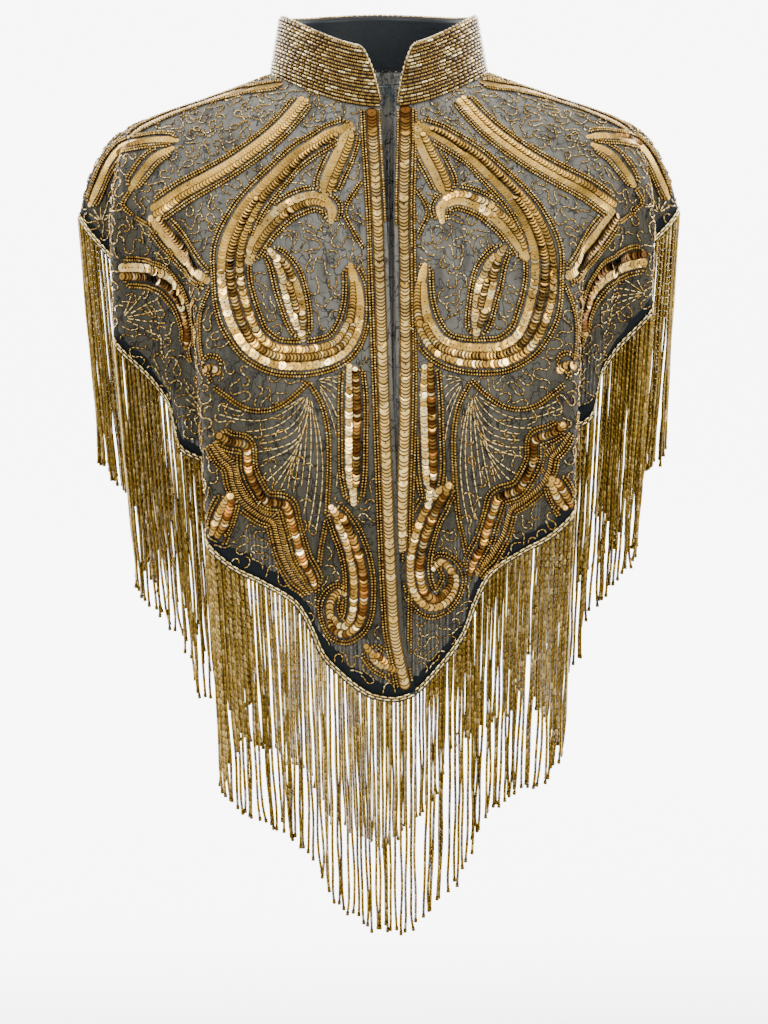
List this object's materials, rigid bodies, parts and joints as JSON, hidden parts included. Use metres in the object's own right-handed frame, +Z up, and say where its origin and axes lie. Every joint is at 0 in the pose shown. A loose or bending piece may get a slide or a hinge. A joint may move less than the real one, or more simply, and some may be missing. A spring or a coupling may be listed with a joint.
{
  "type": "cape",
  "caption": "Short evening cape of sheer dark net covered in gold beadwork, with a stand collar, fluted pointed hem and long bead fringe, kept in its worn hollow form",
  "frame": {"origin": "centre of the neck, level with the foot of the collar at the sides, where the wearer's neck and shoulders hold the cape", "axes": "+Z up, -Y to the wearer's front, +X to the wearer's left"},
  "size_m": [0.3874, 0.2325, 0.5697],
  "materials": {
    "beaded_net": "dark sheer net with gold beads and sequins sewn all over",
    "bugle_beads": "rows of gold-lined glass bugle beads",
    "fringe_beads": "strung gold-lined glass bugle beads",
    "black_lining": "plain black satin",
    "black_wire": "black japanned wire",
    "sequins": "metallic gold cup sequins"
  },
  "bodies": {
    "root": {"front_right": "beaded_net", "front_left": "beaded_net", "back": "beaded_net", "collar": "bugle_beads", "collar_lining": "black_lining", "fringe_front_right": "fringe_beads", "fringe_front_left": "fringe_beads", "fringe_back": "fringe_beads", "hook": "black_wire", "eye": "black_wire"}
  },
  "joints": []
}
